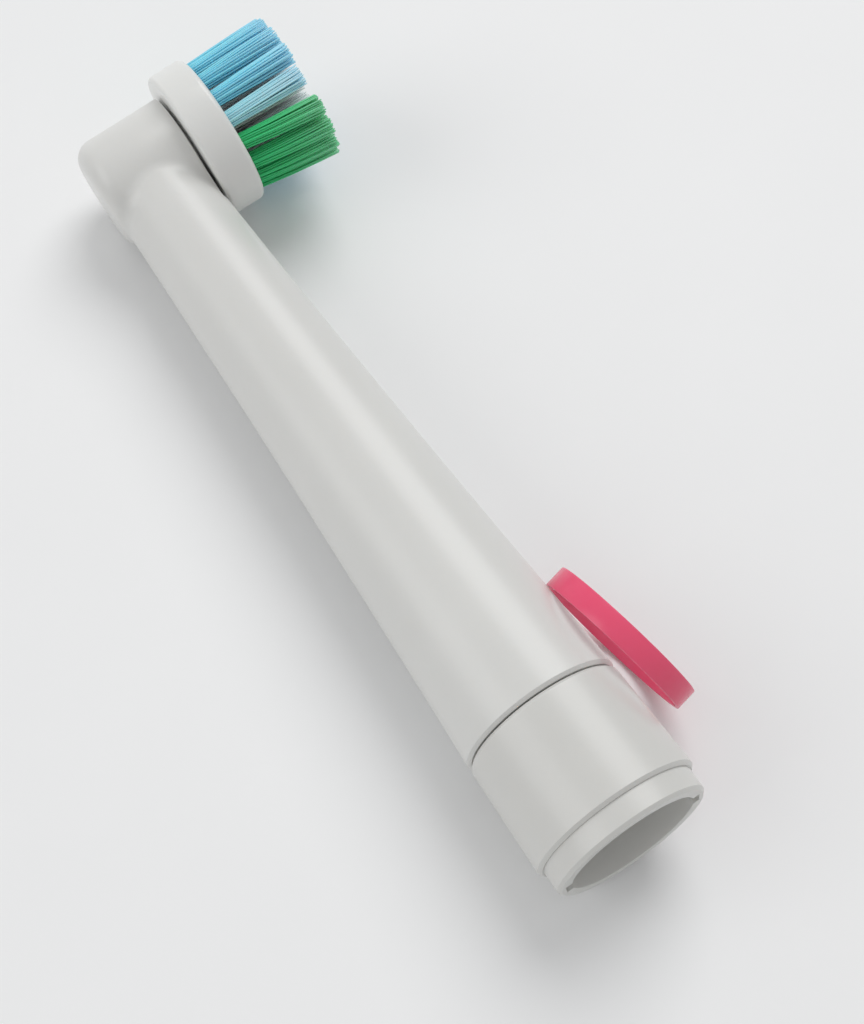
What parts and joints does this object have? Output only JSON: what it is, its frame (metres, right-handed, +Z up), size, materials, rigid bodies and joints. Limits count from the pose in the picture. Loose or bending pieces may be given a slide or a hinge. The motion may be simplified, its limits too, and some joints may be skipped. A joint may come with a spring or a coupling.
{
  "type": "electric toothbrush head",
  "caption": "White toothbrush refill head with a round bristle disc that turns to and fro, driven by a cranked rod in the neck; socket base, loose pink ring beside it.",
  "frame": {"origin": "centre of the base's open mouth, on the neck's axis", "axes": "+X along the neck from the base to the head (the neck dips by about 1 degree as it lies), +Z up, bristles point to -Y and a little up"},
  "size_m": [0.077, 0.0229, 0.0147],
  "materials": {
    "white_plastic": "satin white",
    "disc_plastic": "satin white",
    "inner_plastic": "natural white",
    "pink_plastic": "clear-toned pink",
    "green_bristle": "nylon filament",
    "blue_bristle": "nylon filament",
    "white_bristle": "nylon filament",
    "steel": "drawn steel"
  },
  "bodies": {
    "housing": {"base_sleeve": "white_plastic", "neck_shell": "white_plastic", "rod_guide": "inner_plastic", "axle_pin": "steel", "retaining_pin": "steel", "colour_ring": "pink_plastic"},
    "drive": {"drive_rod": "steel", "drive_sleeve": "inner_plastic", "shaft_clip": "steel"},
    "brush": {"brush_disc": "disc_plastic", "tuft_anchors": "steel", "blue_tuft_1": "blue_bristle", "blue_tuft_2": "blue_bristle", "blue_tuft_3": "blue_bristle", "blue_tuft_4": "blue_bristle", "blue_tuft_5": "blue_bristle", "blue_tuft_6": "blue_bristle", "blue_tuft_7": "blue_bristle", "blue_tuft_8": "blue_bristle", "green_tuft_1": "green_bristle", "green_tuft_2": "green_bristle", "green_tuft_3": "green_bristle", "green_tuft_4": "green_bristle", "green_tuft_5": "green_bristle", "green_tuft_6": "green_bristle", "green_tuft_7": "green_bristle", "green_tuft_8": "green_bristle", "white_tuft_1": "white_bristle", "white_tuft_10": "white_bristle", "white_tuft_11": "white_bristle", "white_tuft_12": "white_bristle", "white_tuft_13": "white_bristle", "white_tuft_14": "white_bristle", "white_tuft_2": "white_bristle", "white_tuft_3": "white_bristle", "white_tuft_4": "white_bristle", "white_tuft_5": "white_bristle", "white_tuft_6": "white_bristle", "white_tuft_7": "white_bristle", "white_tuft_8": "white_bristle", "white_tuft_9": "white_bristle"}
  },
  "joints": [
    {"name": "drive_turn", "type": "hinge", "parent": "housing", "child": "drive", "pos_m": [0, 0, 0], "axis": [0.9998, 0, -0.0174], "range_deg": [-30, 30]},
    {"name": "brush_turn", "type": "hinge", "parent": "housing", "child": "brush", "pos_m": [0.07019, 0, -0.00122], "axis": [0.0038, -0.9756, 0.2195], "range_deg": [-27.5, 27.5]}
  ],
  "couplings": [
    {"joint": "brush_turn", "follows": "drive_turn", "ratio": 0.9}
  ]
}
